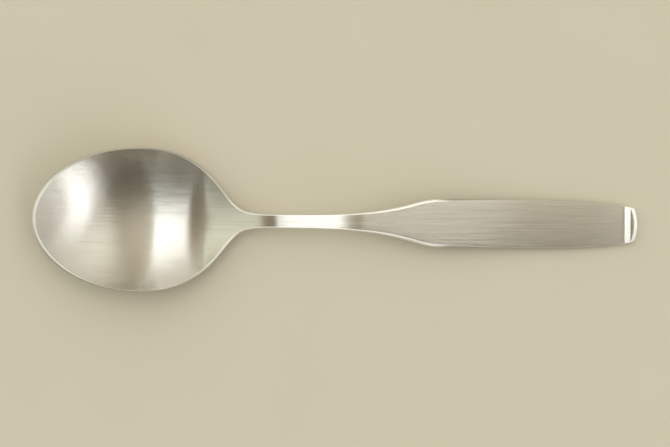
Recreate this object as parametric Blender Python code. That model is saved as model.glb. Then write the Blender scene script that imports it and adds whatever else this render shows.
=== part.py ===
"""Coffee spoon, pressed from one blank of stainless sheet.

The spoon lies on a table, bowl towards -X and handle towards +X, with the open side of the bowl up.
Stations run along the spoon in metres from the tip of the bowl. The outline gives the half width at each
station, the side line gives the height of the top face along the middle, and both faces are drawn as
heights over the outline, which is how a press tool forms the blank.
"""

import bmesh
import bpy
import numpy as np

# Outline, seen from above: lengths that follow each other from the tip of the bowl
TIP_TO_WIDEST = 0.0248
WIDEST_TO_HEEL = 0.01927
HEEL_TO_NECK = 0.0047
NECK_TO_STEM = 0.0072
STEM_LENGTH = 0.0136
STEM_TO_FLARE = 0.0180
FLARE_TO_BLADE = 0.0060
BLADE_LENGTH = 0.04643

# Outline: widths
BOWL_WIDTH = 0.0330
HEEL_WIDTH = 0.0135
NECK_WIDTH = 0.0048
STEM_WIDTH = 0.0031
FLARE_WIDTH = 0.0087
BLADE_WIDTH = 0.01116
BLADE_END_WIDTH = 0.0080
END_ARC_RADIUS = 0.0110
END_CORNER_RADIUS = 0.0012
HEEL_TAPER = -1.36
NECK_TAPER = -0.33
FLARE_TAPER = 0.285
STEM_END_TAPER = 0.035
BLADE_END_TAPER = -0.16

# Side line: heights of the top face over the table, and where they are
WIDEST_TO_DEEPEST = 0.0046
NECK_TO_BEND = 0.0057
BEND_TO_RISE = 0.0027
STEM_END_TO_CREST = 0.0055
CREST_ROUND = 0.0026
CREST_TO_FALL = 0.0032
TIP_HEIGHT = 0.0089
HEEL_HEIGHT = 0.00330
NECK_HEIGHT = 0.00476
NECK_BEND_HEIGHT = 0.00617
STEM_RISE_HEIGHT = 0.00658
CREST_NEAR_HEIGHT = 0.00762
CREST_HEIGHT = 0.00758
CREST_FAR_HEIGHT = 0.00722
FLARE_HEIGHT = 0.00594
BLADE_MIDDLE_HEIGHT = 0.00339
BLADE_FALL = -0.061

# End lip
LIP_LENGTH = 0.0042
LIP_BEND_RADIUS = 0.0090
LIP_ANGLE = np.radians(16.0)

# Roundness across: a hollow across the bowl, a slight crown across the handle
BOWL_SECTION_RADIUS = 0.0206
WIDEST_TO_SECTION_END = 0.0144
HEEL_SECTION_RADIUS = 0.0150
HANDLE_CROWN_RADIUS = 0.0700

# Sheet thickness
BOWL_THICKNESS = 0.0012
RIM_THICKNESS = 0.00095
STEM_THICKNESS = 0.0026
BLADE_THICKNESS = 0.0019
END_THICKNESS = 0.0016

# Edges: how far in from the outline the top and bottom faces end
RIM_LAND = 0.00068
SIDE_LAND = 0.00025
SIDE_LAND_TO_WIDEST = 0.0070
WIDEST_TO_SIDE_LAND_END = 0.0050
RIM_UNDERCUT = 0.00022
EDGE_ROUNDING = 0.00020
END_ROUNDING = 0.00080
UNDERSIDE_ROUNDING = 0.00045
LAND_SQUARENESS = 0.58
EDGE_SQUARENESS = 0.60

# Flats that the spoon rests on, levelled by this much
REST_WEAR = 0.00010

# Mesh
COLUMNS = 10
ROWS = 68
LIP_ROWS = 7
EDGE_STEPS = 3
TIP_CAP = 0.0045
END_CAP = 0.0037
CURVE_SAMPLES = 1400
SLOPE_STEP = 0.0001
BISECTION_LIMIT = 1e-8

STEEL_COLOUR = (0.62, 0.57, 0.49, 1.0)
STEEL_ROUGHNESS = 0.32

# Stations that the lengths above lead to
WIDEST = TIP_TO_WIDEST
HEEL = WIDEST + WIDEST_TO_HEEL
NECK = HEEL + HEEL_TO_NECK
STEM_START = NECK + NECK_TO_STEM
STEM_END = STEM_START + STEM_LENGTH
FLARE = STEM_END + STEM_TO_FLARE
BLADE_START = FLARE + FLARE_TO_BLADE
LENGTH = BLADE_START + BLADE_LENGTH
DEEPEST = WIDEST + WIDEST_TO_DEEPEST
SECTION_END = WIDEST + WIDEST_TO_SECTION_END
NECK_BEND = NECK + NECK_TO_BEND
CREST = STEM_END + STEM_END_TO_CREST
LIP_START = LENGTH - LIP_LENGTH
END_ARC_CENTRE = LENGTH - END_ARC_RADIUS


def clear_scene():
    for item in list(bpy.data.objects):
        bpy.data.objects.remove(item)


def hermite(knots, station):
    """The value at a station on a curve through knots of (station, value, slope)."""
    stations = np.array([knot[0] for knot in knots])
    i = int(np.clip(np.searchsorted(stations, station) - 1, 0, len(knots) - 2))
    (s0, v0, m0), (s1, v1, m1) = knots[i], knots[i + 1]
    span = s1 - s0
    t = (station - s0) / span
    return (
        v0 * (1 + 2 * t) * (1 - t) ** 2
        + m0 * span * t * (1 - t) ** 2
        + v1 * t * t * (3 - 2 * t)
        - m1 * span * t * t * (1 - t)
    )


def fair_slopes(stations, values, first_slope, last_slope):
    """Slopes at the knots that leave no step in the curvature between the two end slopes."""
    count = len(stations)
    matrix = np.zeros((count, count))
    right = np.zeros(count)
    matrix[0, 0] = matrix[-1, -1] = 1.0
    right[0] = first_slope
    right[-1] = last_slope
    for i in range(1, count - 1):
        before = stations[i] - stations[i - 1]
        after = stations[i + 1] - stations[i]
        matrix[i, i - 1 : i + 2] = 1 / before, 2 / before + 2 / after, 1 / after
        rise_before = (values[i] - values[i - 1]) / before**2
        rise_after = (values[i + 1] - values[i]) / after**2
        right[i] = 3 * (rise_before + rise_after)
    return np.linalg.solve(matrix, right)


def ease(knots, station):
    """The value at a station that goes gently from one (station, value) knot to the next."""
    for (s0, v0), (s1, v1) in zip(knots, knots[1:]):
        if station < s1:
            t = max(0.0, (station - s0) / (s1 - s0))
            return v0 + (v1 - v0) * t * t * (3 - 2 * t)
    return knots[-1][1]


OUTLINE_KNOTS = [
    (WIDEST, BOWL_WIDTH / 2, 0.0),
    (HEEL, HEEL_WIDTH / 2, HEEL_TAPER),
    (NECK, NECK_WIDTH / 2, NECK_TAPER),
    (STEM_START, STEM_WIDTH / 2, 0.0),
    (STEM_END, STEM_WIDTH / 2 + STEM_LENGTH * STEM_END_TAPER / 3, STEM_END_TAPER),
    (FLARE, FLARE_WIDTH / 2, FLARE_TAPER),
    (BLADE_START, BLADE_WIDTH / 2, 0.0),
    (BLADE_START + BLADE_LENGTH / 2, BLADE_WIDTH / 2, 0.0),
    (LENGTH, BLADE_END_WIDTH / 2, BLADE_END_TAPER),
]


def half_width(station):
    """Half the width of the outline between the rounded tip and the end's corner."""
    return hermite(OUTLINE_KNOTS, station)


def tip_point(angle):
    """A point on the half ellipse round the bowl's tip, from the tip (0) to the widest place."""
    return WIDEST * (1 - np.cos(angle)), BOWL_WIDTH / 2 * np.sin(angle)


def end_corner():
    """Centre of the corner's rounding, which touches the side and the end's shallow arc, and its angles."""
    low = END_ARC_CENTRE
    high = LENGTH
    while high - low > BISECTION_LIMIT:
        station = (low + high) / 2
        slope = (half_width(station + SLOPE_STEP) - half_width(station)) / SLOPE_STEP
        across = half_width(station) - END_CORNER_RADIUS * np.hypot(1.0, slope)
        if np.hypot(station - END_ARC_CENTRE, across) < END_ARC_RADIUS - END_CORNER_RADIUS:
            low = station
        else:
            high = station
    side_angle = np.arctan2(1.0, -slope)
    arc_angle = np.arctan2(across, station - END_ARC_CENTRE)
    return station, across, side_angle, arc_angle


def outline_curve():
    """One side of the outline as many close points, from the tip round to the end."""
    tip = [tip_point(angle) for angle in np.linspace(0.0, np.pi / 2, CURVE_SAMPLES)]
    centre, across, side_angle, arc_angle = end_corner()
    corner_start = centre + END_CORNER_RADIUS * np.cos(side_angle)
    stations = np.linspace(WIDEST, corner_start, CURVE_SAMPLES)[1:-1]
    side = [(station, half_width(station)) for station in stations]
    corner = [
        (centre + END_CORNER_RADIUS * np.cos(angle), across + END_CORNER_RADIUS * np.sin(angle))
        for angle in np.linspace(side_angle, arc_angle, CURVE_SAMPLES // 4)
    ]
    end = [
        (END_ARC_CENTRE + END_ARC_RADIUS * np.cos(angle), END_ARC_RADIUS * np.sin(angle))
        for angle in np.linspace(arc_angle, 0.0, CURVE_SAMPLES // 4)[1:]
    ]
    return np.array(tip + side + corner + end)


OUTLINE = outline_curve()


def side_line_knots():
    """Heights of the top face's middle line from the bowl's deepest place to the end lip's bend."""
    stations = [
        DEEPEST,
        HEEL,
        NECK,
        NECK_BEND,
        NECK_BEND + BEND_TO_RISE,
        CREST - CREST_ROUND,
        CREST,
        CREST + CREST_TO_FALL,
        FLARE,
        BLADE_START + BLADE_LENGTH / 3,
        LIP_START,
    ]
    heights = [
        BOWL_THICKNESS,
        HEEL_HEIGHT,
        NECK_HEIGHT,
        NECK_BEND_HEIGHT,
        STEM_RISE_HEIGHT,
        CREST_NEAR_HEIGHT,
        CREST_HEIGHT,
        CREST_FAR_HEIGHT,
        FLARE_HEIGHT,
        BLADE_MIDDLE_HEIGHT,
        END_THICKNESS,
    ]
    return list(zip(stations, heights, fair_slopes(stations, heights, 0.0, BLADE_FALL)))


SIDE_LINE = side_line_knots()


def lip_rise(station):
    """How far the end lip has turned up at a station."""
    past = max(0.0, station - LIP_START)
    bend_length = LIP_BEND_RADIUS * np.sin(LIP_ANGLE)
    along = min(past, bend_length)
    rise = LIP_BEND_RADIUS - np.sqrt(LIP_BEND_RADIUS**2 - along**2)
    return rise + (past - along) * np.tan(LIP_ANGLE)


def middle_height(station):
    """Height of the top face on the middle line."""
    if station < DEEPEST:
        rise = TIP_HEIGHT - BOWL_THICKNESS
        radius = (DEEPEST**2 + rise**2) / (2 * rise)
        return BOWL_THICKNESS + radius - np.sqrt(radius**2 - (DEEPEST - station) ** 2)
    if station < LIP_START:
        return hermite(SIDE_LINE, station)
    return END_THICKNESS + BLADE_FALL * (station - LIP_START) + lip_rise(station)


def section_knots():
    """Curvature across the spoon: even in the bowl, closer at the heel, flat on the stem, then a crown."""
    bowl = 1 / BOWL_SECTION_RADIUS
    heel = 1 / HEEL_SECTION_RADIUS
    crown = -1 / HANDLE_CROWN_RADIUS
    return [
        (0.0, bowl, 0.0),
        (SECTION_END, bowl, 0.0),
        (HEEL, heel, 0.0),
        (STEM_START, 0.0, 0.0),
        (STEM_END, crown, 0.0),
        (LENGTH, crown, 0.0),
    ]


SECTION = section_knots()


def section_curvature(station):
    """Curvature across the spoon at a station, over zero where it is hollow."""
    return hermite(SECTION, station)


def section_rise(curvature, across):
    """Height of a round section over its middle at a distance across."""
    bend = min(1.0, abs(curvature * across))
    return curvature * across**2 / (1 + np.sqrt(1 - bend**2))


def top_height(station, across):
    return middle_height(station) + section_rise(section_curvature(station), across)


def middle_thickness(station):
    """Thickness of the sheet on the middle line: the blank is rolled thin at the bowl and the end."""
    return ease(
        [
            (WIDEST * 0.2, RIM_THICKNESS),
            (DEEPEST, BOWL_THICKNESS),
            (STEM_START, STEM_THICKNESS),
            (STEM_END, STEM_THICKNESS),
            (BLADE_START, BLADE_THICKNESS),
            (LIP_START, END_THICKNESS),
        ],
        station,
    )


def bowl_share(station):
    """1 over the bowl, 0 from the stem on."""
    return ease([(HEEL - WIDEST_TO_HEEL / 4, 1.0), (STEM_START, 0.0)], station)


def thickness(station, across):
    """Thickness of the sheet, which thins towards the rim of the bowl."""
    middle = middle_thickness(station)
    rim = min(middle, RIM_THICKNESS)
    width = np.interp(station, OUTLINE[:, 0], OUTLINE[:, 1]) + SLOPE_STEP
    share = min(1.0, abs(across) / width) ** 2 * bowl_share(station)
    return middle + (rim - middle) * share


def bottom_height(station, across):
    """Height of the underside: the sheet's thickness is taken square to its top face."""
    top = top_height(station, across)
    along = (top_height(station + SLOPE_STEP, across) - top) / SLOPE_STEP
    sideways = (top_height(station, abs(across) + SLOPE_STEP) - top) / SLOPE_STEP
    if section_curvature(station) < 0:
        top = middle_height(station)
        sideways = 0.0
    return top - thickness(station, across) * np.sqrt(1 + along**2 + sideways**2)


def outline_point(share):
    """A point of the outline, by its place along the curve, and its outward direction."""
    here = share * (len(OUTLINE) - 1)
    before = OUTLINE[max(0, int(here) - 1)]
    after = OUTLINE[min(len(OUTLINE) - 1, int(here) + 2)]
    i = min(int(here), len(OUTLINE) - 2)
    point = OUTLINE[i] + (OUTLINE[i + 1] - OUTLINE[i]) * (here - i)
    run = after - before
    outward = np.array([-run[1], run[0]]) / np.hypot(*run)
    return point, outward


def arc_lengths():
    """Distance along the outline curve at each of its points."""
    steps = np.hypot(*np.diff(OUTLINE, axis=0).T)
    return np.concatenate([[0.0], np.cumsum(steps)])


def outline_stops():
    """Places along the outline: round the tip, along the side, close at the end lip, round the end."""
    distance = arc_lengths()
    tip_end, lip_start = np.interp([TIP_CAP, LIP_START], OUTLINE[:, 0], distance)
    end_start = distance[-1] - END_CAP
    tip = np.linspace(0.0, tip_end, COLUMNS + 1)
    side = np.linspace(tip_end, lip_start, ROWS + 1)[1:]
    lip = np.linspace(lip_start, end_start, LIP_ROWS + 1)[1:-1]
    end = np.linspace(end_start, distance[-1], COLUMNS + 1)
    stops = np.concatenate([tip, side, lip, end])
    index = np.interp(stops, distance, np.arange(len(distance)))
    return index / (len(OUTLINE) - 1)


def land_width(station):
    """Width of the bowl's level rim, which was ground away most at the sides, and of the handle's rounding."""
    return ease(
        [
            (0.0, RIM_LAND),
            (WIDEST - SIDE_LAND_TO_WIDEST, SIDE_LAND),
            (WIDEST + WIDEST_TO_SIDE_LAND_END, SIDE_LAND),
            (SECTION_END, RIM_LAND),
            (HEEL, RIM_LAND),
            (STEM_START, EDGE_ROUNDING),
            (LIP_START, EDGE_ROUNDING),
            (LENGTH, END_ROUNDING),
        ],
        station,
    )


def undercut_width(station):
    """How far in from the outline the underside ends."""
    return ease([(HEEL, RIM_UNDERCUT), (STEM_START, UNDERSIDE_ROUNDING)], station)


def border(stops, inset_width):
    """The outline moved inward by the inset that the function gives, one side, tip to end."""
    points = []
    for share in stops:
        point, outward = outline_point(share)
        inset = point - outward * inset_width(point[0])
        points.append((inset[0], max(0.0, inset[1])))
    points[0] = (points[0][0], 0.0)
    points[-1] = (points[-1][0], 0.0)
    return np.array(points)


def plan_rows(side):
    """Rows of plan points across the spoon: the first bends round the tip, the last round the end."""
    tip_arc = side[: COLUMNS + 1]
    end_arc = side[-COLUMNS - 1 :][::-1]
    middle = side[COLUMNS : len(side) - COLUMNS]
    share = np.linspace(0.0, 1.0, len(middle))
    rows = []
    for (station, width), along in zip(middle, share):
        tip_bulge = (1 - along) ** 7
        end_bulge = along**12
        row = []
        for i in range(COLUMNS + 1):
            # each arc gives the first and last rows their own spacing across
            spread = i / COLUMNS
            tip_across = tip_arc[i][1] / tip_arc[-1][1]
            end_across = end_arc[i][1] / end_arc[-1][1]
            across = spread + (tip_across - spread) * tip_bulge + (end_across - spread) * end_bulge
            tip_shift = (tip_arc[i][0] - tip_arc[-1][0]) * tip_bulge
            end_shift = (end_arc[i][0] - end_arc[-1][0]) * end_bulge
            row.append((station + tip_shift + end_shift, width * across))
        rows.append([(x, -y) for x, y in row[:0:-1]] + row)
    return rows


def levelled(height):
    """The underside is worn flat where it rests on the table."""
    return max(height, REST_WEAR)


def add_skin(mesh, rows, height):
    """One face of the spoon as rows of points, each at its height over the plan."""
    grid = [[mesh.verts.new((x, y, height(x, y))) for x, y in row] for row in rows]
    for row, following in zip(grid, grid[1:]):
        for i in range(len(row) - 1):
            mesh.faces.new((row[i], row[i + 1], following[i + 1], following[i]))
    return grid


def skin_border(grid):
    """The points round a skin, in order: first row, one side, last row, other side."""
    first = grid[0]
    last = grid[-1]
    right = [row[-1] for row in grid[1:-1]]
    left = [row[0] for row in grid[1:-1]]
    return first + right + last[::-1] + left[::-1]


def outline_loop(stops):
    """The whole outline in the order of a skin's border."""
    side = [outline_point(share)[0] for share in stops]
    cap = side[: COLUMNS + 1]
    tail = side[-COLUMNS - 1 :]
    middle = side[COLUMNS + 1 : len(side) - COLUMNS - 1]
    loop = [(x, -y) for x, y in cap[:0:-1]] + cap + middle
    loop += tail + [(x, -y) for x, y in tail[-2::-1]]
    return [tuple(point) for point in loop] + [(x, -y) for x, y in middle[::-1]]


def edge_curve(start, corner, finish, squareness):
    """Points from start to finish on a curve drawn towards a corner, without its two ends."""
    points = []
    for step in range(1, EDGE_STEPS):
        t = step / EDGE_STEPS
        first_pull = start + (corner - start) * squareness
        second_pull = finish + (corner - finish) * squareness
        points.append(
            start * (1 - t) ** 3
            + first_pull * 3 * t * (1 - t) ** 2
            + second_pull * 3 * t * t * (1 - t)
            + finish * t**3
        )
    return points


def edge_section(top, rim, bottom):
    """The rounded edge between the border of the top face and that of the underside."""
    x, y = rim
    bowl = bowl_share(x)
    upper_corner = np.array((x, y, top[2]))
    lower_corner = np.array((x, y, max(REST_WEAR, bottom_height(x, y))))
    outermost = (upper_corner + lower_corner) / 2
    squareness = EDGE_SQUARENESS + (LAND_SQUARENESS - EDGE_SQUARENESS) * bowl
    upper = edge_curve(top, upper_corner, outermost, squareness)
    lower = edge_curve(outermost, lower_corner, bottom, EDGE_SQUARENESS)
    return upper + [outermost] + lower


def add_edge(mesh, top_grid, bottom_grid, stops):
    """The edge face round the spoon, from the top skin's border to the underside's."""
    top = skin_border(top_grid)
    bottom = skin_border(bottom_grid)
    loop = outline_loop(stops)
    rings = []
    for upper, rim, lower in zip(top, loop, bottom):
        between = edge_section(np.array(upper.co), rim, np.array(lower.co))
        rings.append([upper] + [mesh.verts.new(point) for point in between] + [lower])
    for ring, following in zip(rings, rings[1:] + rings[:1]):
        for i in range(len(ring) - 1):
            mesh.faces.new((ring[i], following[i], following[i + 1], ring[i + 1]))


def spoon_mesh():
    mesh = bmesh.new()
    stops = outline_stops()
    top_grid = add_skin(mesh, plan_rows(border(stops, land_width)), top_height)
    bottom_grid = add_skin(
        mesh,
        plan_rows(border(stops, undercut_width)),
        lambda station, across: levelled(bottom_height(station, across)),
    )
    add_edge(mesh, top_grid, bottom_grid, stops)
    bmesh.ops.recalc_face_normals(mesh, faces=mesh.faces)
    bmesh.ops.translate(mesh, verts=mesh.verts, vec=(-LENGTH / 2, 0.0, -REST_WEAR))
    data = bpy.data.meshes.new("coffee_spoon")
    mesh.to_mesh(data)
    mesh.free()
    return data


def satin_steel():
    """Stainless steel with a lengthwise brushed satin finish."""
    material = bpy.data.materials.new("satin_steel")
    material.use_nodes = True
    shader = material.node_tree.nodes["Principled BSDF"]
    shader.inputs["Base Color"].default_value = STEEL_COLOUR
    shader.inputs["Metallic"].default_value = 1.0
    shader.inputs["Roughness"].default_value = STEEL_ROUGHNESS
    return material


def main():
    clear_scene()
    data = spoon_mesh()
    data.materials.append(satin_steel())
    data.shade_smooth()
    data.set_sharp_from_angle(angle=np.radians(32.0))
    spoon = bpy.data.objects.new("coffee_spoon", data)
    bpy.context.scene.collection.objects.link(spoon)


main()
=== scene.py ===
"""Coffee spoon of satin-brushed stainless steel on a pale table, seen from straight above.

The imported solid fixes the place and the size. The spoon is drawn again here from the same driving
sizes with a much finer mesh, because brushed steel shows every small step in a surface. The crest
of its stem lies up to 0.05 mm off the solid's, which moves the reflections there by a few
millimetres. The light is two softboxes and a plain room, which brushed steel turns into bands with
sharp ends along the spoon and soft ends across it. Stations run along the spoon in metres from the
tip of the bowl, and the bowl opens upwards.
"""

import bpy
import numpy as np
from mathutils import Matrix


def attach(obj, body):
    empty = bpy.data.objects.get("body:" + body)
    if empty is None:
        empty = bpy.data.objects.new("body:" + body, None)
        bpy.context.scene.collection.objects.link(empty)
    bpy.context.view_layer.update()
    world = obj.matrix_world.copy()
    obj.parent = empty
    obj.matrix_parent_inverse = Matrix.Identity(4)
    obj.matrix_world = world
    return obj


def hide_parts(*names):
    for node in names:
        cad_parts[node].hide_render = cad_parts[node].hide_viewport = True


# Outline: stations, widths, and how fast the half width changes at some of them
WIDEST = 0.0248
DEEPEST = 0.0294
HEEL = 0.04407
NECK = 0.04877
STEM_START = 0.05597
STEM_END = 0.06957
FLARE = 0.08757
BLADE_START = 0.09357
BLADE_THIRD = 0.109047
BLADE_HALF = 0.116785
LIP_START = 0.1365
LENGTH = 0.1400

BOWL_WIDTH = 0.03299
HEEL_WIDTH = 0.0135
NECK_WIDTH = 0.0048
STEM_WIDTH = 0.0031
FLARE_WIDTH = 0.0089
BLADE_WIDTH = 0.01116
BLADE_END_WIDTH = 0.0080
END_ARC_RADIUS = 0.0110
END_CORNER_RADIUS = 0.0012
HEEL_TAPER = -1.36
NECK_TAPER = -0.33
FLARE_TAPER = 0.285
STEM_END_TAPER = 0.035
BLADE_END_TAPER = -0.16

# Side line: stations and heights of the top face's middle over the table, the blade's slope where
# the end lip starts, and the lip's bends as distances past its start and slopes in degrees
NECK_BEND = 0.05447
STEM_RISE = 0.05717
CREST_NEAR = 0.07217
CREST = 0.07427
CREST_FAR = 0.07731

TIP_HEIGHT = 0.00889
BOWL_FLOOR_HEIGHT = 0.0012
HEEL_HEIGHT = 0.00330
NECK_HEIGHT = 0.00476
NECK_BEND_HEIGHT = 0.00617
STEM_RISE_HEIGHT = 0.006584
CREST_NEAR_HEIGHT = 0.007638
CREST_HEIGHT = 0.007624
CREST_FAR_HEIGHT = 0.007304
FLARE_HEIGHT = 0.005909
BLADE_THIRD_HEIGHT = 0.00339
LIP_START_HEIGHT = 0.0016
BLADE_FALL = -0.061
LIP_BENDS = [(0.0, -3.5), (0.0005, 5.0), (0.0018, 12.0), (0.0021, 17.0), (0.0027, 17.0)]

# Roundness across: a hollow across the bowl, a slight crown across the handle
BOWL_SECTION_RADIUS = 0.0206
BOWL_SECTION_END = 0.0392
HEEL_SECTION_RADIUS = 0.0150
HANDLE_CROWN_RADIUS = 0.0700

# Sheet thickness: the rim's from the tip up to TIP_THIN_END. From BOWL_FADE on, the bowl's thin,
# ground rim turns into the stem's edge.
BOWL_FADE = HEEL - (HEEL - WIDEST) / 4
TIP_THIN_END = WIDEST * 0.2
RIM_THICKNESS = 0.00095
BOWL_THICKNESS = 0.0012
STEM_THICKNESS = 0.0026
BLADE_THICKNESS = 0.0019
END_THICKNESS = 0.0016

# Edges: how far in from the outline the faces end at each place, how the land between them falls
# outwards, how far the handle's end keeps the face's height, and how square the roundings are.
# With less land at the bowl's sides its rim would stand higher than the solid's.
RIM_LAND = 0.00078
SIDE_LAND = 0.00025
SIDE_LAND_START = 0.0178
SIDE_LAND_END = 0.0298
HEEL_LAND = 0.00046
LAND_SLOPE = 0.45
END_LEVEL_SHARE = 0.25
END_SQUARENESS = 0.90
FILLET_SHARE = 0.28
RIM_UNDERCUT = 0.00022
EDGE_ROUNDING = 0.00020
FLARE_ROUNDING = 0.00055
BLADE_ROUNDING = 0.00012
END_ROUNDING = 0.00070
UNDERSIDE_ROUNDING = 0.00045
LAND_SQUARENESS = 0.58
EDGE_SQUARENESS = 0.60
REST_WEAR = 0.00010

# Rolled edge of the handle: the top face turns down towards the outline, most along the flare
ROLL_WIDTH = 0.0013
ROLL_DROP = 0.00010
STEM_ROLL_SHARE = 0.0
BLADE_ROLL_SHARE = 0.3

# Mesh: points across half the spoon, rows along it, steps round each half of the edge, lengths at
# the tip and the end that the outermost rows bend round, and how soon the rows beside them go
# straight. Then the samples and steps that the curves are measured with.
COLUMNS = 26
ROWS = 400
LIP_ROWS = 40
EDGE_STEPS = 6
TIP_CAP = 0.0045
END_CAP = 0.0037
TIP_STRAIGHTENING = 7
END_STRAIGHTENING = 12
CURVE_SAMPLES = 4000
SLOPE_STEP = 0.00005
BISECTION_LIMIT = 1e-9
CREASE_ANGLE = np.radians(24.0)

# Camera: straight above, turned a little so that the handle's end lies lower in the frame
CAMERA_HEIGHT = 0.500
CAMERA_PLACE = (-0.00030, -0.00038)
CAMERA_ROLL = np.radians(0.620)
FOCUS_HEIGHT = 0.005
FRAME_WIDTH = 0.15461
SENSOR_WIDTH = 36.0


def hermite(knots, station):
    """Values at the stations on a curve through knots of (station, value, slope)."""
    stations, values, slopes = np.array(knots).T
    i = np.clip(np.searchsorted(stations, station) - 1, 0, len(knots) - 2)
    span = stations[i + 1] - stations[i]
    t = (station - stations[i]) / span
    return (
        values[i] * (1 + 2 * t) * (1 - t) ** 2
        + slopes[i] * span * t * (1 - t) ** 2
        + values[i + 1] * t * t * (3 - 2 * t)
        - slopes[i + 1] * span * t * t * (1 - t)
    )


def fair_slopes(stations, values, first_slope, last_slope):
    """Slopes at the knots that leave no step in the curvature between the two end slopes."""
    count = len(stations)
    matrix = np.zeros((count, count))
    right = np.zeros(count)
    matrix[0, 0] = matrix[-1, -1] = 1.0
    right[0] = first_slope
    right[-1] = last_slope
    for i in range(1, count - 1):
        before = stations[i] - stations[i - 1]
        after = stations[i + 1] - stations[i]
        matrix[i, i - 1 : i + 2] = 1 / before, 2 / before + 2 / after, 1 / after
        rise_before = (values[i] - values[i - 1]) / before**2
        rise_after = (values[i + 1] - values[i]) / after**2
        right[i] = 3 * (rise_before + rise_after)
    return np.linalg.solve(matrix, right)


def ease(knots, station):
    """Values that go gently between (station, value) knots and stay level outside them."""
    stations, values = np.array(knots).T
    i = np.clip(np.searchsorted(stations, station, side="right") - 1, 0, len(knots) - 2)
    t = np.clip((station - stations[i]) / (stations[i + 1] - stations[i]), 0.0, 1.0)
    return values[i] + (values[i + 1] - values[i]) * t * t * (3 - 2 * t)


OUTLINE_KNOTS = [
    (WIDEST, BOWL_WIDTH / 2, 0.0),
    (HEEL, HEEL_WIDTH / 2, HEEL_TAPER),
    (NECK, NECK_WIDTH / 2, NECK_TAPER),
    (STEM_START, STEM_WIDTH / 2, 0.0),
    (STEM_END, STEM_WIDTH / 2 + (STEM_END - STEM_START) * STEM_END_TAPER / 3, STEM_END_TAPER),
    (FLARE, FLARE_WIDTH / 2, FLARE_TAPER),
    (BLADE_START, BLADE_WIDTH / 2, 0.0),
    (BLADE_HALF, BLADE_WIDTH / 2, 0.0),
    (LENGTH, BLADE_END_WIDTH / 2, BLADE_END_TAPER),
]


def end_corner():
    """Centre and angles of the corner's rounding, which touches the side and the end's arc."""
    arc_centre = LENGTH - END_ARC_RADIUS
    low = arc_centre
    high = LENGTH
    while high - low > BISECTION_LIMIT:
        station = (low + high) / 2
        width, beside = hermite(OUTLINE_KNOTS, np.array([station, station + SLOPE_STEP]))
        slope = (beside - width) / SLOPE_STEP
        across = width - END_CORNER_RADIUS * np.hypot(1.0, slope)
        if np.hypot(station - arc_centre, across) < END_ARC_RADIUS - END_CORNER_RADIUS:
            low = station
        else:
            high = station
    return station, across, np.arctan2(1.0, -slope), np.arctan2(across, station - arc_centre)


def arc(centre, across, radius, first_angle, last_angle):
    """Close points on an arc about a centre on or beside the middle line."""
    angle = np.linspace(first_angle, last_angle, CURVE_SAMPLES // 4)
    return np.stack([centre + radius * np.cos(angle), across + radius * np.sin(angle)], axis=1)


def outline_curve():
    """One side of the outline as close points, from the tip round the bowl to the end."""
    angle = np.linspace(0.0, np.pi / 2, CURVE_SAMPLES)
    tip = np.stack([WIDEST * (1 - np.cos(angle)), BOWL_WIDTH / 2 * np.sin(angle)], axis=1)
    centre, across, side_angle, arc_angle = end_corner()
    stations = np.linspace(WIDEST, centre + END_CORNER_RADIUS * np.cos(side_angle), CURVE_SAMPLES)
    side = np.stack([stations, hermite(OUTLINE_KNOTS, stations)], axis=1)
    corner = arc(centre, across, END_CORNER_RADIUS, side_angle, arc_angle)
    end = arc(LENGTH - END_ARC_RADIUS, 0.0, END_ARC_RADIUS, arc_angle, 0.0)
    return np.concatenate([tip, side[1:-1], corner, end[1:]])


OUTLINE = outline_curve()


def side_line_knots():
    """Heights and slopes of the middle line from the bowl's deepest place to the end lip."""
    knots = [
        (DEEPEST, BOWL_FLOOR_HEIGHT),
        (HEEL, HEEL_HEIGHT),
        (NECK, NECK_HEIGHT),
        (NECK_BEND, NECK_BEND_HEIGHT),
        (STEM_RISE, STEM_RISE_HEIGHT),
        (CREST_NEAR, CREST_NEAR_HEIGHT),
        (CREST, CREST_HEIGHT),
        (CREST_FAR, CREST_FAR_HEIGHT),
        (FLARE, FLARE_HEIGHT),
        (BLADE_THIRD, BLADE_THIRD_HEIGHT),
        (LIP_START, LIP_START_HEIGHT),
    ]
    stations, heights = zip(*knots)
    return list(zip(stations, heights, fair_slopes(stations, heights, 0.0, BLADE_FALL)))


SIDE_LINE = side_line_knots()


def lip_knots():
    """Heights of the end lip, whose slope changes evenly from each bend to the next."""
    knots = []
    height = LIP_START_HEIGHT
    before = slope_before = 0.0
    for past, degrees in LIP_BENDS:
        slope = np.tan(np.radians(degrees))
        height += (past - before) * (slope + slope_before) / 2
        knots.append((LIP_START + past, height, slope))
        before, slope_before = past, slope
    station, height, slope = knots[-1]
    return [*knots, (LENGTH, height + (LENGTH - station) * slope, slope)]


LIP_LINE = lip_knots()


def middle_height(station):
    """Height of the top face on the middle line: an arc to the tip, a fair curve, then the lip."""
    rise = TIP_HEIGHT - BOWL_FLOOR_HEIGHT
    radius = (DEEPEST**2 + rise**2) / (2 * rise)
    before = np.maximum(DEEPEST - station, 0.0)
    bowl = BOWL_FLOOR_HEIGHT + radius - np.sqrt(radius**2 - before**2)
    between = hermite(SIDE_LINE, np.clip(station, DEEPEST, LIP_START))
    lip = hermite(LIP_LINE, np.maximum(station, LIP_START))
    return np.where(station < DEEPEST, bowl, np.where(station > LIP_START, lip, between))


def section_knots():
    """Curvature across: even in the bowl, closer at the heel, none at the stem, then a crown."""
    bowl = 1 / BOWL_SECTION_RADIUS
    heel = 1 / HEEL_SECTION_RADIUS
    crown = -1 / HANDLE_CROWN_RADIUS
    return [
        (0.0, bowl, 0.0),
        (BOWL_SECTION_END, bowl, 0.0),
        (HEEL, heel, 0.0),
        (STEM_START, 0.0, 0.0),
        (STEM_END, crown, 0.0),
        (LENGTH, crown, 0.0),
    ]


SECTION = section_knots()


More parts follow.
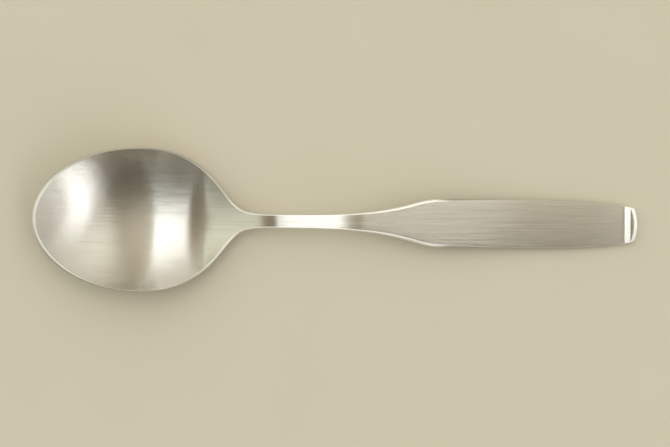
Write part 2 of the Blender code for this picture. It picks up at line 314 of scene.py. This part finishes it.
def pressed_height(station, across):
    """Height of the top face as pressed: the side line plus a round section across it."""
    curvature = hermite(SECTION, station)
    bend = np.minimum(np.abs(curvature * across), 1.0)
    return middle_height(station) + curvature * across**2 / (1 + np.sqrt(1 - bend**2))


def outline_width(station):
    """Half of the spoon's width."""
    return np.interp(station, OUTLINE[:, 0], OUTLINE[:, 1])


def roll_share(station):
    """How much of the rolled edge there is: all of it on the flare, little on the blade."""
    knots = [
        (STEM_START, STEM_ROLL_SHARE),
        (STEM_END, STEM_ROLL_SHARE),
        (FLARE, 1.0),
        (BLADE_START, 1.0),
        (BLADE_THIRD, BLADE_ROLL_SHARE),
        (BLADE_HALF, BLADE_ROLL_SHARE),
        (LIP_START, 0.0),
    ]
    return ease(knots, station) * (1 - bowl_share(station))


def top_height(station, across):
    """Height of the top face, which turns down beside the outline on the handle."""
    width = outline_width(station)
    taper = (outline_width(station + SLOPE_STEP) - width) / SLOPE_STEP
    inward = (width - np.abs(across)) / np.hypot(1.0, taper)
    roll = np.clip(1 - inward / ROLL_WIDTH, 0.0, 1.0) ** 2
    return pressed_height(station, across) - ROLL_DROP * roll_share(station) * roll


def bowl_share(station):
    """1 over the bowl, 0 from the stem on."""
    return ease([(BOWL_FADE, 1.0), (STEM_START, 0.0)], station)


def thickness(station, across):
    """Thickness of the sheet: thin at the bowl and the end, thinner towards the bowl's rim."""
    middle = ease(
        [
            (TIP_THIN_END, RIM_THICKNESS),
            (DEEPEST, BOWL_THICKNESS),
            (STEM_START, STEM_THICKNESS),
            (STEM_END, STEM_THICKNESS),
            (BLADE_START, BLADE_THICKNESS),
            (LIP_START, END_THICKNESS),
        ],
        station,
    )
    width = outline_width(station) + 2 * SLOPE_STEP  # never 0, also at the tip
    share = np.minimum(1.0, np.abs(across) / width) ** 2 * bowl_share(station)
    return middle + (np.minimum(middle, RIM_THICKNESS) - middle) * share


def bottom_height(station, across):
    """Height of the underside, a thickness square to the top face, and level where it rests."""
    top = pressed_height(station, across)
    along = (pressed_height(station + SLOPE_STEP, across) - top) / SLOPE_STEP
    sideways = (pressed_height(station, np.abs(across) + SLOPE_STEP) - top) / SLOPE_STEP
    crowned = hermite(SECTION, station) < 0
    face = np.where(crowned, middle_height(station), top)
    sideways = np.where(crowned, 0.0, sideways)
    under = face - thickness(station, across) * np.sqrt(1 + along**2 + sideways**2)
    return np.maximum(under, REST_WEAR)


def outline_stops():
    """Places along the outline: close round the tip, the end and the lip, even elsewhere."""
    steps = np.hypot(*np.diff(OUTLINE, axis=0).T)
    distance = np.concatenate([[0.0], np.cumsum(steps)])
    tip_end, lip_start = np.interp([TIP_CAP, LIP_START], OUTLINE[:, 0], distance)
    end_start = distance[-1] - END_CAP
    tip = np.linspace(0.0, tip_end, COLUMNS + 1)
    side = np.linspace(tip_end, lip_start, ROWS + 1)[1:]
    lip = np.linspace(lip_start, end_start, LIP_ROWS + 1)[1:-1]
    end = np.linspace(end_start, distance[-1], COLUMNS + 1)
    return distance, np.concatenate([tip, side, lip, end])


def outline_points():
    """Points of the outline at the stops, and the outward direction at each."""
    distance, stops = outline_stops()
    points = np.stack([np.interp(stops, distance, OUTLINE[:, k]) for k in (0, 1)], axis=1)
    run = np.gradient(OUTLINE, distance, axis=0)
    run = np.stack([np.interp(stops, distance, run[:, k]) for k in (0, 1)], axis=1)
    outward = np.stack([-run[:, 1], run[:, 0]], axis=1) / np.hypot(*run.T)[:, None]
    return points, outward


def land_width(station):
    """Width of the bowl's ground rim, narrowest at the sides, and of the handle's rounding."""
    return ease(
        [
            (0.0, RIM_LAND),
            (SIDE_LAND_START, SIDE_LAND),
            (SIDE_LAND_END, SIDE_LAND),
            (BOWL_SECTION_END, HEEL_LAND),
            (HEEL, HEEL_LAND),
            (STEM_START, EDGE_ROUNDING),
            (STEM_END, EDGE_ROUNDING),
            (FLARE, FLARE_ROUNDING),
            (BLADE_START, FLARE_ROUNDING),
            (BLADE_THIRD, BLADE_ROUNDING),
            (LIP_START, BLADE_ROUNDING),
            (LENGTH, END_ROUNDING),
        ],
        station,
    )


def end_share(station):
    """1 at the handle's end, 0 before its lip."""
    return ease([(LIP_START, 0.0), (LENGTH, 1.0)], station)


def undercut_width(station):
    """How far in from the outline the underside ends."""
    return ease([(HEEL, RIM_UNDERCUT), (STEM_START, UNDERSIDE_ROUNDING)], station)


def border(points, outward, inset):
    """The outline moved inward to where a face ends."""
    moved = points - outward * inset[:, None]
    moved[[0, -1], 1] = 0.0
    return moved


def plan_rows(side):
    """Rows of plan points across the spoon: the first bend round the tip, the last the end."""
    tip = side[: COLUMNS + 1]
    end = side[-COLUMNS - 1 :][::-1]
    middle = side[COLUMNS : len(side) - COLUMNS]
    along = np.linspace(0.0, 1.0, len(middle))[:, None]
    tip_pull = (1 - along) ** TIP_STRAIGHTENING
    end_pull = along**END_STRAIGHTENING
    even = np.linspace(0.0, 1.0, COLUMNS + 1)
    round_tip = (tip[:, 1] / tip[-1, 1] - even) * tip_pull
    round_end = (end[:, 1] / end[-1, 1] - even) * end_pull
    across = even + round_tip + round_end
    x = middle[:, :1] + (tip[:, 0] - tip[-1, 0]) * tip_pull + (end[:, 0] - end[-1, 0]) * end_pull
    y = middle[:, 1:] * across
    return np.concatenate([x[:, :0:-1], x], axis=1), np.concatenate([-y[:, :0:-1], y], axis=1)


def skin(side, height):
    """One face of the spoon as rows of points at their heights."""
    x, y = plan_rows(side)
    return np.stack([x, y, height(x, y)], axis=-1)


def around(grid):
    """The items round a grid: first row, one side, last row backwards, other side backwards."""
    return np.concatenate([grid[0], grid[1:-1, -1], grid[-1, ::-1], grid[-2:0:-1, 0]])


def outline_loop(points):
    """The whole outline in the order of around()."""
    mirror = points * np.array([1.0, -1.0])
    cap = points[: COLUMNS + 1]
    tail = points[-COLUMNS - 1 :]
    middle = points[COLUMNS + 1 : -COLUMNS - 1]
    first = np.concatenate([mirror[COLUMNS:0:-1], cap])
    last = np.concatenate([tail, mirror[-2 : -COLUMNS - 2 : -1]])
    other = mirror[COLUMNS + 1 : -COLUMNS - 1][::-1]
    return np.concatenate([first, middle, last, other])


def edge_curve(start, corner, finish, squareness):
    """Points from start to finish on curves drawn towards a corner, without their two ends."""
    t = (np.arange(1, EDGE_STEPS) / EDGE_STEPS)[None, :, None]
    first_pull = (start + (corner - start) * squareness)[:, None]
    second_pull = (finish + (corner - finish) * squareness)[:, None]
    return (
        start[:, None] * (1 - t) ** 3
        + first_pull * 3 * t * (1 - t) ** 2
        + second_pull * 3 * t * t * (1 - t)
        + finish[:, None] * t**3
    )


def raised(plan, heights):
    """Plan points set to their heights."""
    return np.concatenate([plan, heights[:, None]], axis=1)


def edge_rings(points, outward, top, bottom):
    """Points of the edge between the faces, ring by ring: a fillet, the land, the rounding."""
    rim = outline_loop(points)
    width = land_width(points[:, 0])
    land_inner = outline_loop(border(points, outward, width))
    land = outline_loop(border(points, outward, width * (1 - FILLET_SHARE)))
    fall = LAND_SLOPE * outline_loop(np.stack([width, width], axis=1))[:, 0]
    bowl = bowl_share(rim[:, 0])
    end = end_share(rim[:, 0])
    share = bowl + END_LEVEL_SHARE * end
    level = top_height(*land_inner.T)
    inner_corner = raised(land_inner, level)
    land_height = top_height(*land.T)
    land_height = land_height + (level - land_height) * share
    land_start = raised(land, land_height - FILLET_SHARE * fall * bowl)
    rolled = top_height(*rim.T)
    upper_corner = raised(rim, rolled + (level - rolled) * share - fall * bowl)
    lower_corner = raised(rim, bottom_height(*rim.T))
    outermost = (upper_corner + lower_corner) / 2
    squareness = EDGE_SQUARENESS + (LAND_SQUARENESS - EDGE_SQUARENESS) * bowl[:, None]
    squareness = squareness + (END_SQUARENESS - EDGE_SQUARENESS) * end[:, None]
    fillet = edge_curve(top, inner_corner, land_start, EDGE_SQUARENESS)
    upper = edge_curve(land_start, upper_corner, outermost, squareness)
    lower = edge_curve(outermost, lower_corner, bottom, EDGE_SQUARENESS)
    return np.concatenate([fillet, land_start[:, None], upper, outermost[:, None], lower], axis=1)


def quads(index, flipped):
    """Four corners for each cell of a grid of point numbers."""
    cells = np.stack([index[:-1, :-1], index[:-1, 1:], index[1:, 1:], index[1:, :-1]], axis=-1)
    cells = cells.reshape(-1, 4)
    return cells[:, ::-1] if flipped else cells


def spoon_mesh():
    """The whole spoon as one closed skin: top face, underside and the edge between them."""
    points, outward = outline_points()
    stations = points[:, 0]
    top = skin(border(points, outward, land_width(stations) * (1 + FILLET_SHARE)), top_height)
    bottom = skin(border(points, outward, undercut_width(stations)), bottom_height)
    rings = edge_rings(points, outward, around(top), around(bottom))
    vertices = np.concatenate([part.reshape(-1, 3) for part in (top, bottom, rings)])
    vertices = vertices - np.array([LENGTH / 2, 0.0, REST_WEAR])
    top_index = np.arange(top[..., 0].size).reshape(top.shape[:2])
    bottom_index = top_index + top_index.size
    ring_index = np.arange(rings[..., 0].size).reshape(rings.shape[:2]) + 2 * top_index.size
    edge_index = np.concatenate(
        [around(top_index)[:, None], ring_index, around(bottom_index)[:, None]], axis=1
    )
    edge_index = np.concatenate([edge_index, edge_index[:1]])
    faces = [quads(top_index, True), quads(bottom_index, False), quads(edge_index, True)]
    data = bpy.data.meshes.new("brushed_spoon")
    data.from_pydata(vertices.tolist(), [], np.concatenate(faces).tolist())
    edge_faces = np.zeros(sum(len(part) for part in faces), np.int32)
    edge_faces[-len(faces[-1]) :] = 1
    data.polygons.foreach_set("material_index", edge_faces)
    data.shade_smooth()
    data.set_sharp_from_angle(angle=CREASE_ANGLE)
    add_grain_directions(data)
    return data


def add_grain_directions(data):
    """A flat map seen from above, whose first direction runs across the brushing."""
    layer = data.uv_layers.new(name="grain")
    corners = np.zeros(len(data.loops), np.int32)
    data.loops.foreach_get("vertex_index", corners)
    places = np.zeros(len(data.vertices) * 3)
    data.vertices.foreach_get("co", places)
    places = places.reshape(-1, 3)[corners]
    across = places[:, 1] / LENGTH + 0.5
    along = places[:, 0] / LENGTH + 0.5
    layer.data.foreach_set("uv", np.stack([across, along], axis=1).ravel())


def linear(hex_code):
    """An sRGB hex colour as the linear values that the nodes take."""
    parts = np.array([int(hex_code[i : i + 2], 16) / 255 for i in (1, 3, 5)])
    low = parts / 12.92
    high = ((parts + 0.055) / 1.055) ** 2.4
    return (*np.where(parts <= 0.04045, low, high).tolist(), 1.0)


def add_node(tree, kind, settings=None, links=None):
    """Adds one node, sets its properties and sockets, and links outputs into its sockets."""
    node = tree.nodes.new(kind)
    for name, value in (settings or {}).items():
        if isinstance(name, int) or name in node.inputs:
            node.inputs[name].default_value = value
        else:
            setattr(node, name, value)
    for name, output in (links or {}).items():
        tree.links.new(output, node.inputs[name])
    return node


def new_material(name):
    """An empty node material and its shader node, ready for settings."""
    material = bpy.data.materials.new(name)
    material.use_nodes = True
    tree = material.node_tree
    return material, tree, tree.nodes["Principled BSDF"]


def fill_ramp(ramp, colours):
    """Gives a colour ramp these (place, colour) stops in place of its own."""
    stops = ramp.color_ramp.elements
    stops.remove(stops[0])
    for number, (place, colour) in enumerate(colours):
        stop = stops[0] if number == 0 else stops.new(place)
        stop.position = place
        stop.color = colour


# Nodes: the mix node's two colours and its result, and the range in which most of a noise lies
MIX_FIRST = 6
MIX_SECOND = 7
MIX_RESULT = 2
NOISE_LOW = 0.3
NOISE_HIGH = 0.7

# Steel: the belt leaves grooves about 0.05 mm apart, which only smear the reflections across the
# spoon. They are drawn much finer than that, because at their real spacing the render catches
# single grooves as false streaks. The lines that show are those of the belt's few coarser grits.
GROOVE_SPACING = 0.0000015
GROOVE_LENGTH = 0.0080
GROOVE_SLOPE = 2.3
GRIT_SPACING = 0.00013
GRIT_LENGTH = 0.0160
GRIT_SLOPE = 0.20
HANDLING_SIZE = 0.0090
STEEL = "#D6D0C6"
STEEL_DARKER = "#BFB8AC"
SATIN_ROUGHNESS = 0.19
SATIN_CLOUDING = 0.015
SATIN_ANISOTROPY = 1.0


def belt_lines(tree, place, spacing, length):
    """A pattern that changes quickly across the spoon and slowly along it."""
    stretched = add_node(
        tree,
        "ShaderNodeVectorMath",
        {"operation": "MULTIPLY", 1: (1 / length, 1 / spacing, 1 / length)},
        {0: place},
    )
    lines = add_node(
        tree,
        "ShaderNodeTexNoise",
        {"Scale": 1.0, "Detail": 2.0, "Roughness": 0.6},
        {"Vector": stretched.outputs[0]},
    )
    return lines.outputs["Fac"]


def satin_brushed_stainless():
    """Austenitic stainless sheet, pressed and then brushed lengthwise on a fine abrasive belt.

    The eye sees a warm grey metal whose reflections are sharp along the spoon and smeared across
    it, with fine lines that run the whole length and slight clouding from handling.
    """
    material, tree, shader = new_material("satin_brushed_stainless")
    place = add_node(tree, "ShaderNodeTexCoord").outputs["Object"]
    grooves = belt_lines(tree, place, GROOVE_SPACING, GROOVE_LENGTH)
    grits = belt_lines(tree, place, GRIT_SPACING, GRIT_LENGTH)
    cloud = add_node(
        tree,
        "ShaderNodeTexNoise",
        {"Scale": 1 / HANDLING_SIZE, "Detail": 3.0, "Roughness": 0.5},
        {"Vector": place},
    )
    colour = add_node(
        tree,
        "ShaderNodeMix",
        {"data_type": "RGBA", MIX_FIRST: linear(STEEL_DARKER), MIX_SECOND: linear(STEEL)},
        {0: grits},
    )
    gloss = add_node(
        tree,
        "ShaderNodeMapRange",
        {
            "From Min": NOISE_LOW,
            "From Max": NOISE_HIGH,
            "To Min": SATIN_ROUGHNESS - SATIN_CLOUDING,
            "To Max": SATIN_ROUGHNESS + SATIN_CLOUDING,
        },
        {"Value": cloud.outputs["Fac"]},
    )
    groove_tilt = add_node(
        tree,
        "ShaderNodeMapRange",
        {"clamp": False, "To Min": -GROOVE_SLOPE / 2, "To Max": GROOVE_SLOPE / 2},
        {"Value": grooves},
    )
    grit_tilt = add_node(
        tree,
        "ShaderNodeMapRange",
        {"clamp": False, "To Min": -GRIT_SLOPE / 2, "To Max": GRIT_SLOPE / 2},
        {"Value": grits},
    )
    tilt = add_node(
        tree,
        "ShaderNodeMath",
        {"operation": "ADD"},
        {0: groove_tilt.outputs[0], 1: grit_tilt.outputs[0]},
    )
    across = add_node(tree, "ShaderNodeTangent", {"direction_type": "UV_MAP", "uv_map": "grain"})
    lean = add_node(
        tree,
        "ShaderNodeVectorMath",
        {"operation": "SCALE"},
        {0: across.outputs[0], "Scale": tilt.outputs[0]},
    )
    upright = add_node(tree, "ShaderNodeNewGeometry").outputs["Normal"]
    leaning = add_node(
        tree,
        "ShaderNodeVectorMath",
        {"operation": "ADD"},
        {0: upright, 1: lean.outputs[0]},
    )
    facing = add_node(
        tree,
        "ShaderNodeVectorMath",
        {"operation": "NORMALIZE"},
        {0: leaning.outputs[0]},
    )
    shader.inputs["Metallic"].default_value = 1.0
    shader.inputs["Anisotropic"].default_value = SATIN_ANISOTROPY
    tree.links.new(colour.outputs[MIX_RESULT], shader.inputs["Base Color"])
    tree.links.new(gloss.outputs[0], shader.inputs["Roughness"])
    tree.links.new(facing.outputs[0], shader.inputs["Normal"])
    tree.links.new(across.outputs[0], shader.inputs["Tangent"])
    return material


# Buffed edge: the wheel left it rougher than the faces. Its brightness by station is a painted
# highlight, from 0, as dull as the brushed faces, to 1, brightest along the stem, the flare and the
# end
BUFFED_ROUGHNESS = 0.45
BUFFED_CLOUDING = 0.03
BUFFING_SIZE = 0.0006
EDGE_HIGHLIGHT_TONE = "#F6F2EB"
EDGE_HIGHLIGHT_SHARES = [
    (0.0, 0.45),
    (0.008, 0.35),
    (0.016, 0.0),
    (0.036, 0.0),
    (0.046, 0.55),
    (0.060, 1.0),
    (0.0925, 1.0),
    (0.0965, 0.0),
    (LIP_START - 0.0010, 0.0),
    (LIP_START + 0.0010, 0.7),
    (LENGTH, 0.8),
]


def buffed_edge_and_painted_highlight():
    """The same steel where the punched edge was rounded and buffed on a soft wheel.

    The base colour carries a painted highlight: a thin bright line along the stem, the flare and
    the end, and a duller one round the bowl and along the blade.
    """
    material, tree, shader = new_material("buffed_edge_and_painted_highlight")
    place = add_node(tree, "ShaderNodeTexCoord").outputs["Object"]
    wheel = add_node(
        tree,
        "ShaderNodeTexNoise",
        {"Scale": 1 / BUFFING_SIZE, "Detail": 2.0},
        {"Vector": place},
    )
    gloss = add_node(
        tree,
        "ShaderNodeMapRange",
        {
            "From Min": NOISE_LOW,
            "From Max": NOISE_HIGH,
            "To Min": BUFFED_ROUGHNESS - BUFFED_CLOUDING,
            "To Max": BUFFED_ROUGHNESS + BUFFED_CLOUDING,
        },
        {"Value": wheel.outputs["Fac"]},
    )
    along = add_node(tree, "ShaderNodeSeparateXYZ", links={0: place}).outputs["X"]
    length_share = add_node(
        tree,
        "ShaderNodeMapRange",
        {"From Min": -LENGTH / 2, "From Max": LENGTH / 2},
        {"Value": along},
    )
    # Painted highlight: the edge's base colour is made brighter by station where its lines catch
    # the lamps
    painted_highlight = add_node(tree, "ShaderNodeValToRGB", links={"Fac": length_share.outputs[0]})
    dull, bright = (np.array(linear(tone)) for tone in (STEEL_DARKER, EDGE_HIGHLIGHT_TONE))
    fill_ramp(
        painted_highlight,
        [
            (station / LENGTH, (dull + (bright - dull) * share).tolist())
            for station, share in EDGE_HIGHLIGHT_SHARES
        ],
    )
    shader.inputs["Metallic"].default_value = 1.0
    tree.links.new(painted_highlight.outputs["Color"], shader.inputs["Base Color"])
    tree.links.new(gloss.outputs[0], shader.inputs["Roughness"])
    return material


# Table
TABLE_SIZE = 4.0
TABLE_TONE = "#D3C9B4"
TABLE_SHADE = "#CEC4AE"
TABLE_CLOUD = 0.030
TABLE_ROUGHNESS = 0.75
TABLE_GLOSS = 0.3


def matt_table_laminate():
    """Matt melamine-faced board: a pale, warm, even surface with no gloss."""
    material, tree, shader = new_material("matt_table_laminate")
    place = add_node(tree, "ShaderNodeTexCoord").outputs["Object"]
    cloud = add_node(
        tree,
        "ShaderNodeTexNoise",
        {"Scale": 1 / TABLE_CLOUD, "Detail": 3.0},
        {"Vector": place},
    )
    colour = add_node(
        tree,
        "ShaderNodeMix",
        {"data_type": "RGBA", MIX_FIRST: linear(TABLE_SHADE), MIX_SECOND: linear(TABLE_TONE)},
        {0: cloud.outputs["Fac"]},
    )
    shader.inputs["Roughness"].default_value = TABLE_ROUGHNESS
    shader.inputs["Specular IOR Level"].default_value = TABLE_GLOSS
    tree.links.new(colour.outputs[MIX_RESULT], shader.inputs["Base Color"])
    return material


def add_table():
    """The plain table that the spoon lies on."""
    half = TABLE_SIZE / 2
    data = bpy.data.meshes.new("pale_table")
    corners = [(-half, -half, 0), (half, -half, 0), (half, half, 0), (-half, half, 0)]
    data.from_pydata(corners, [], [(0, 1, 2, 3)])
    data.materials.append(matt_table_laminate())
    table = bpy.data.objects.new("pale_table", data)
    bpy.context.scene.collection.objects.link(table)


# Softboxes hang level over the table. Each reaches over these angles from straight up, in degrees,
# and its level is how bright it looks, where 1 is white.
LAMP_HEIGHT = 5.0
SOFTBOXES = {
    "long_softbox": {"x": (-18.2, -2.1), "y": (-4.0, 36.0), "level": 2.35, "tone": "#EEF5FF"},
    "side_softbox": {"x": (27.3, 36.5), "y": (-66.0, -21.0), "level": 2.8, "tone": "#EEF5FF"},
}


def add_softbox(name, x, y, level, tone):
    """A level rectangular lamp that reaches over the given angles and shines evenly."""
    left, right = LAMP_HEIGHT * np.tan(np.radians(x))
    near, far = LAMP_HEIGHT * np.tan(np.radians(y))
    lamp = bpy.data.lights.new(name, "AREA")
    lamp.shape = "RECTANGLE"
    lamp.size = right - left
    lamp.size_y = far - near
    lamp.color = linear(tone)[:3]
    lamp.energy = np.pi * level * lamp.size * lamp.size_y
    box = bpy.data.objects.new(name, lamp)
    box.location = ((left + right) / 2, (near + far) / 2, LAMP_HEIGHT)
    bpy.context.scene.collection.objects.link(box)


# Room: tones by the angle from straight up along the spoon, in degrees. Across the spoon the
# ceiling turns into the back of the room (+Y) over BACK_ANGLES, into the front (-Y) over
# FRONT_ANGLES, and the front into its lowest part over HORIZON_ANGLES.
ROOM_LEVEL = 1.5
CEILING_TONES = [
    (-84.0, "#8C8A80"),
    (-64.0, "#F0F5E6"),
    (-30.0, "#F0F5E6"),
    (-26.0, "#A59A86"),
    (-19.0, "#978C78"),
    (-17.0, "#EAECE6"),
    (-2.0, "#EAECE6"),
    (2.0, "#E6E2D2"),
    (6.0, "#DAD6C7"),
    (10.0, "#CDC9BA"),
    (13.0, "#C8C4B5"),
    (15.2, "#DAD9CB"),
    (17.3, "#ECECE1"),
    (20.0, "#FDFDF5"),
    (26.0, "#FDFEF9"),
    (37.0, "#EEF0EA"),
    (43.0, "#B8B8B0"),
]
BACK_TONES = [
    (-84.0, "#8C8A80"),
    (-64.0, "#E4E8DA"),
    (-30.0, "#DEE2D4"),
    (-26.0, "#A09582"),
    (-19.0, "#83796A"),
    (-17.0, "#C4C4BA"),
    (-12.0, "#D8D8CE"),
    (-8.0, "#EEF0EA"),
    (-2.8, "#EEF0EA"),
    (-1.2, "#C0BBAA"),
    (10.0, "#B2AC9A"),
    (13.0, "#B2AC9A"),
    (15.2, "#CAC8BA"),
    (17.5, "#E6E6DA"),
    (20.0, "#F4F4EA"),
    (26.0, "#F6F7F0"),
    (37.0, "#EAECE4"),
    (43.0, "#B8B8B0"),
]
BACK_ANGLES = (10.0, 36.0)
FRONT_TONES = [
    (-60.0, "#9A9C94"),
    (-30.0, "#9A9C94"),
    (-26.0, "#48433B"),
    (-19.0, "#48433B"),
    (-17.0, "#4C4C46"),
    (-12.0, "#5C5F5A"),
    (-8.0, "#6E7370"),
    (-2.0, "#6E7370"),
    (1.0, "#3A342C"),
    (25.0, "#3A342C"),
    (28.5, "#E6E9F0"),
    (44.0, "#D8DAD8"),
]
FRONT_ANGLES = (15.0, -40.0)
HORIZON_TONES = [(-60.0, "#55534C"), (-30.0, "#55534C"), (-20.0, "#C4C0B6")]
HORIZON_ANGLES = (-62.0, -88.0)


def add_tones(tree, half_turn, tones):
    """A ramp through the tones at their angles, over the half turn from -90 to 90 degrees."""
    ramp = add_node(tree, "ShaderNodeValToRGB", links={"Fac": half_turn})
    fill_ramp(ramp, [(0.5 + degrees / 180, linear(tone)) for degrees, tone in tones])
    return ramp.outputs["Color"]


def angle_share(tree, angle, angles):
    """Goes gently from 0 at the first of two angles to 1 at the second."""
    first, second = np.radians(angles)
    return add_node(
        tree,
        "ShaderNodeMapRange",
        {"From Min": first, "From Max": second, "interpolation_type": "SMOOTHSTEP"},
        {"Value": angle},
    ).outputs[0]


def add_room():
    """The plain room round the table: a pale ceiling and back with browner parts, a dim front."""
    world = bpy.data.worlds.new("warm_room")
    bpy.context.scene.world = world
    world.use_nodes = True
    tree = world.node_tree
    direction = add_node(tree, "ShaderNodeTexCoord").outputs["Generated"]
    split = add_node(tree, "ShaderNodeSeparateXYZ", links={0: direction}).outputs
    along, across = (
        add_node(
            tree,
            "ShaderNodeMath",
            {"operation": "ARCTAN2"},
            {0: split[axis], 1: split["Z"]},
        ).outputs[0]
        for axis in ("X", "Y")
    )
    half_turn = add_node(
        tree,
        "ShaderNodeMapRange",
        {"From Min": -np.pi / 2, "From Max": np.pi / 2},
        {"Value": along},
    ).outputs[0]
    tone = add_tones(tree, half_turn, CEILING_TONES)
    for tones, angles in (
        (BACK_TONES, BACK_ANGLES),
        (FRONT_TONES, FRONT_ANGLES),
        (HORIZON_TONES, HORIZON_ANGLES),
    ):
        tone = add_node(
            tree,
            "ShaderNodeMix",
            {"data_type": "RGBA"},
            {
                0: angle_share(tree, across, angles),
                MIX_FIRST: tone,
                MIX_SECOND: add_tones(tree, half_turn, tones),
            },
        ).outputs[MIX_RESULT]
    room = tree.nodes["Background"]
    room.inputs["Strength"].default_value = ROOM_LEVEL
    tree.links.new(tone, room.inputs["Color"])


def add_camera():
    """A long lens straight above the spoon."""
    lens = bpy.data.cameras.new("camera")
    lens.sensor_width = SENSOR_WIDTH
    lens.lens = SENSOR_WIDTH * (CAMERA_HEIGHT - FOCUS_HEIGHT) / FRAME_WIDTH
    camera = bpy.data.objects.new("camera", lens)
    camera.location = (*CAMERA_PLACE, CAMERA_HEIGHT)
    camera.rotation_euler = (0.0, 0.0, CAMERA_ROLL)
    bpy.context.scene.collection.objects.link(camera)
    bpy.context.scene.camera = camera


def add_spoon():
    """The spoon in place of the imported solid."""
    data = spoon_mesh()
    data.materials.append(satin_brushed_stainless())
    data.materials.append(buffed_edge_and_painted_highlight())
    spoon = bpy.data.objects.new("brushed_spoon", data)
    bpy.context.scene.collection.objects.link(spoon)
    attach(spoon, "root")
    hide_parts("coffee_spoon")


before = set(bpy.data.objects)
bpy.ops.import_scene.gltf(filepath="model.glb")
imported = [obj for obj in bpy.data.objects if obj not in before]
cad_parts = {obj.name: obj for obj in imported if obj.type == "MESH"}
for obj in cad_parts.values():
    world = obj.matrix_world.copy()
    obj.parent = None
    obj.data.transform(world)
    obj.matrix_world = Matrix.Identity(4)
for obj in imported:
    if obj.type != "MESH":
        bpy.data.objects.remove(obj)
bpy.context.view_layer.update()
add_spoon()
add_table()
for softbox, settings in SOFTBOXES.items():
    add_softbox(softbox, **settings)
add_room()
add_camera()
bpy.context.scene.view_settings.view_transform = "Standard"
